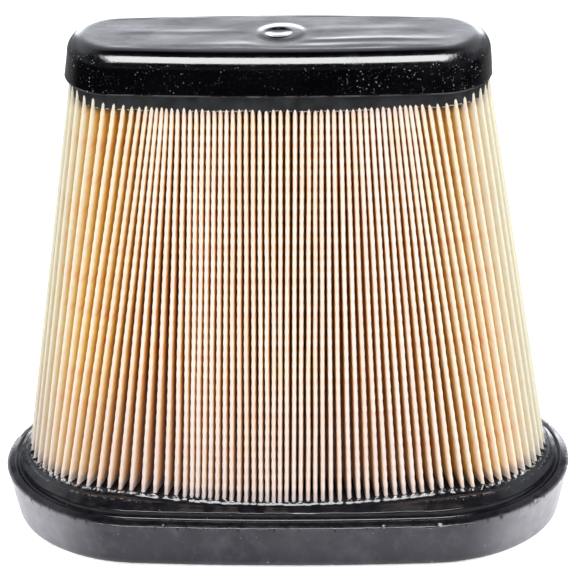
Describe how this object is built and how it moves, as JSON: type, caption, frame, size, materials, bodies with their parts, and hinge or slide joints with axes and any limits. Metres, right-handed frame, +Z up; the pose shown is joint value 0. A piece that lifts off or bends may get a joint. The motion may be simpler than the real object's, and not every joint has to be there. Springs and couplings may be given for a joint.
{
  "type": "air filter cartridge",
  "caption": "Tapered oval pleated-paper air filter cartridge with a closed moulded top cap, a wide soft base flange that seals on its flat underside, and an inner support core.",
  "frame": {"origin": "centre of the base flange's flat sealing face, on the axis of the outlet", "axes": "+X along the long side of the oval, +Y across it towards the joined pleat, +Z up from the sealing face to the closed cap"},
  "size_m": [0.205, 0.106, 0.1888],
  "materials": {
    "cap_polyurethane": "glossy moulded skin",
    "flange_polyurethane": "satin moulded skin",
    "filter_paper": "resin-treated, embossed",
    "clip_steel": "bright rolled strip",
    "screen_wire": "galvanised wire",
    "cage_plastic": "matt moulded",
    "plate_plastic": "matt moulded",
    "ring_plastic": "satin moulded"
  },
  "bodies": {
    "root": {"top_cap": "cap_polyurethane", "base_flange": "flange_polyurethane", "pleated_media": "filter_paper", "media_seam_clip": "clip_steel", "support_screen": "screen_wire", "core_cage": "cage_plastic", "core_top_plate": "plate_plastic", "outlet_ring": "ring_plastic"}
  },
  "joints": []
}
